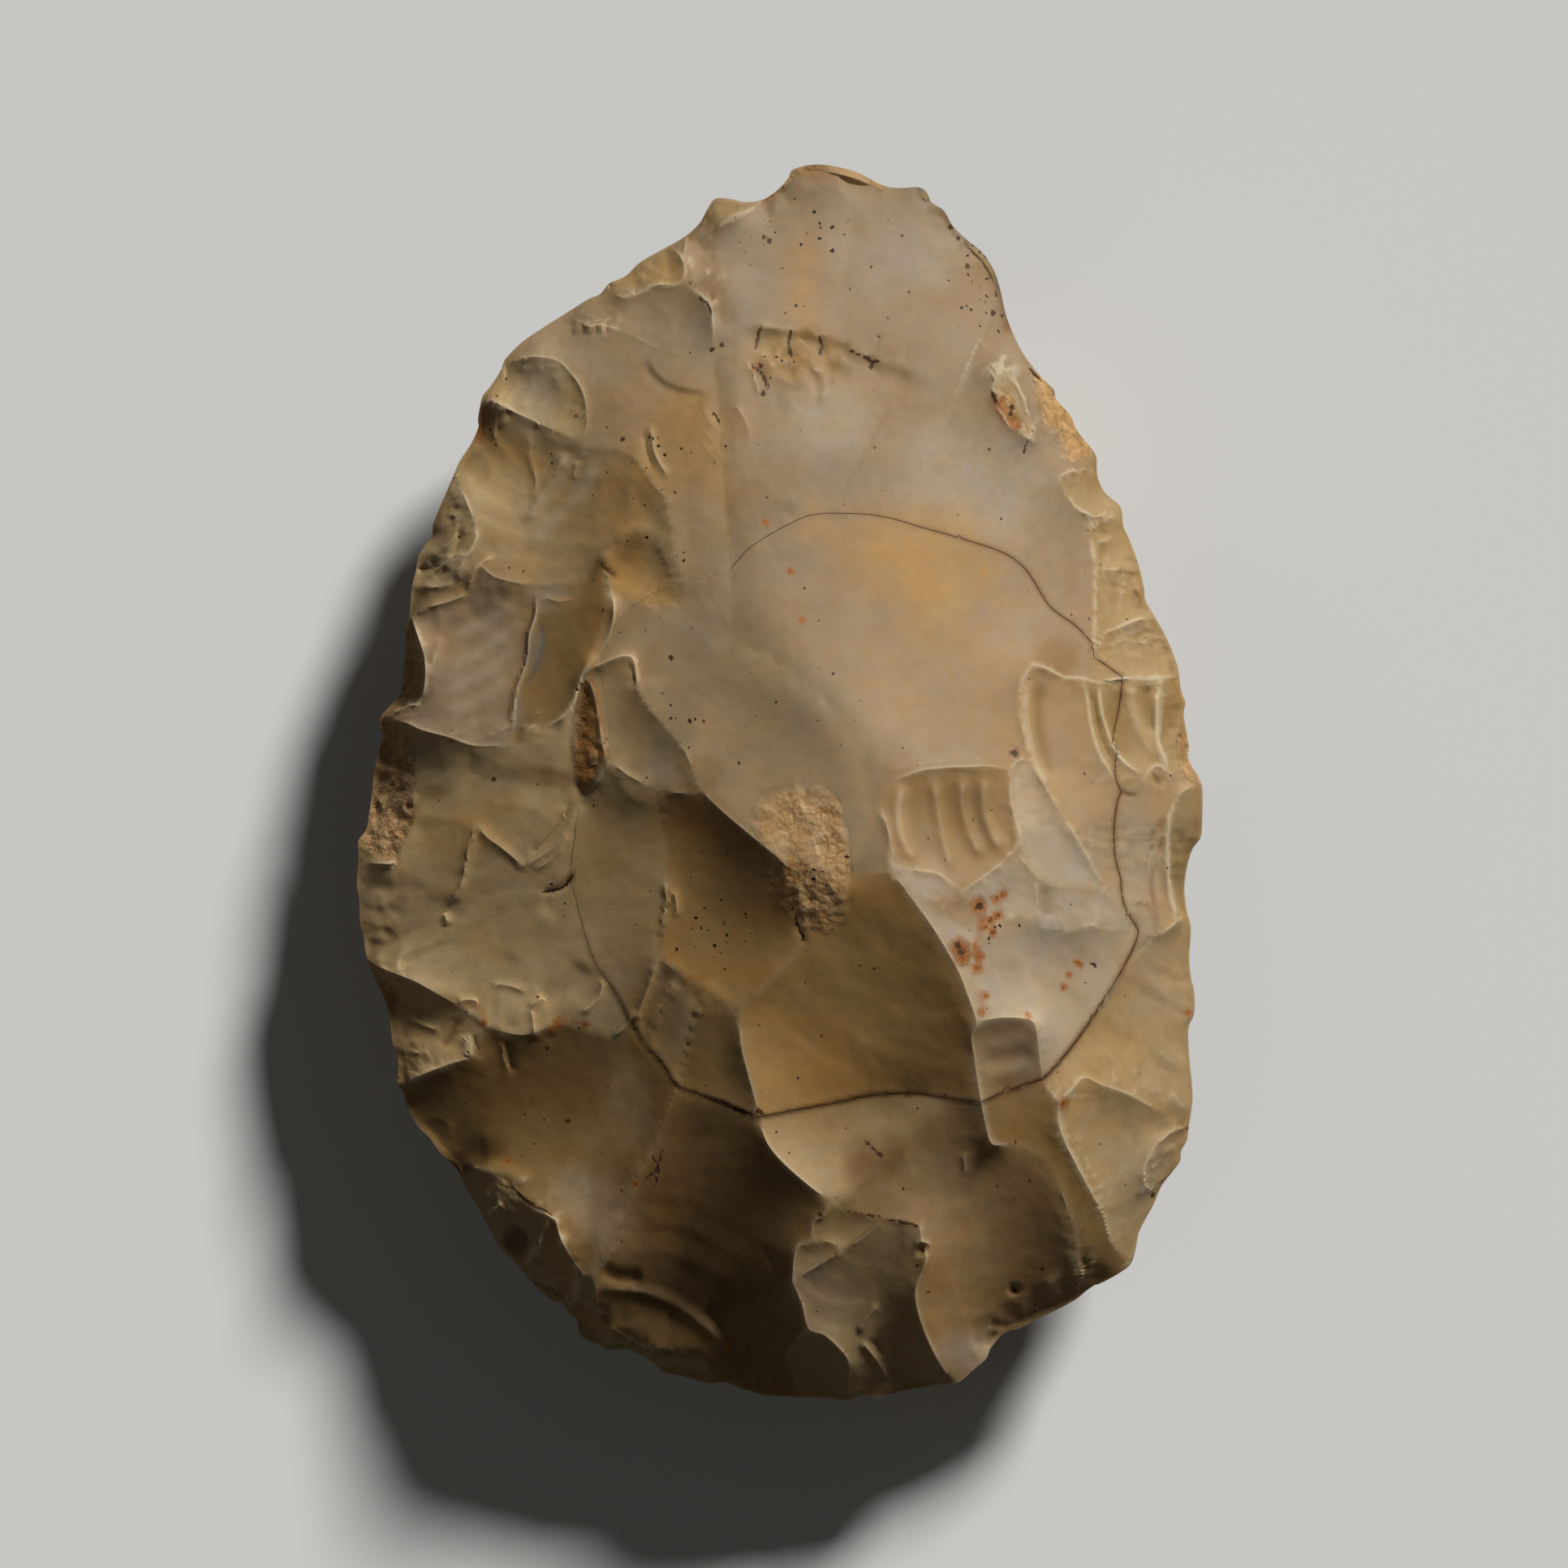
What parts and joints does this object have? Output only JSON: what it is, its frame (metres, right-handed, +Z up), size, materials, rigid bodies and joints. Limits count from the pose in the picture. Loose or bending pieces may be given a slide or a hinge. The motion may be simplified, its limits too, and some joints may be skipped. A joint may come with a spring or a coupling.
{
  "type": "flint hand axe",
  "caption": "Oval knapped flint hand axe with flake scars on both faces, patches of old rind and a hairline crack round a central lens.",
  "frame": {"origin": "under the middle of the outline, on the surface that the axe rests on", "axes": "+X across the axe, +Y from the butt to the tip, +Z up out of the worked face"},
  "size_m": [0.1026, 0.1499, 0.0432],
  "materials": {
    "flint": "satin, patinated cream and buff",
    "honey_flint": "satin, patinated honey",
    "rind": "rough, matt, brown",
    "stain": "rough, matt, orange brown",
    "crystal": "fine grained, sparkling",
    "iron_oxide": "matt, red brown",
    "fossil": "fine grained, grey brown"
  },
  "bodies": {
    "root": {"flint_body": "flint", "cracked_lens": "honey_flint", "rind_left": "rind", "rind_left_upper": "rind", "rind_shoulder": "rind", "rind_notch": "rind", "rind_right": "rind", "rind_tip": "rind", "rind_lower_left": "rind", "gash_filling": "stain", "crystal_pocket": "crystal", "iron_nodule_ridge": "iron_oxide", "iron_nodule_band": "iron_oxide", "iron_nodule_upper": "iron_oxide", "iron_nodule_fan": "iron_oxide", "fossil_ring": "fossil"}
  },
  "joints": []
}
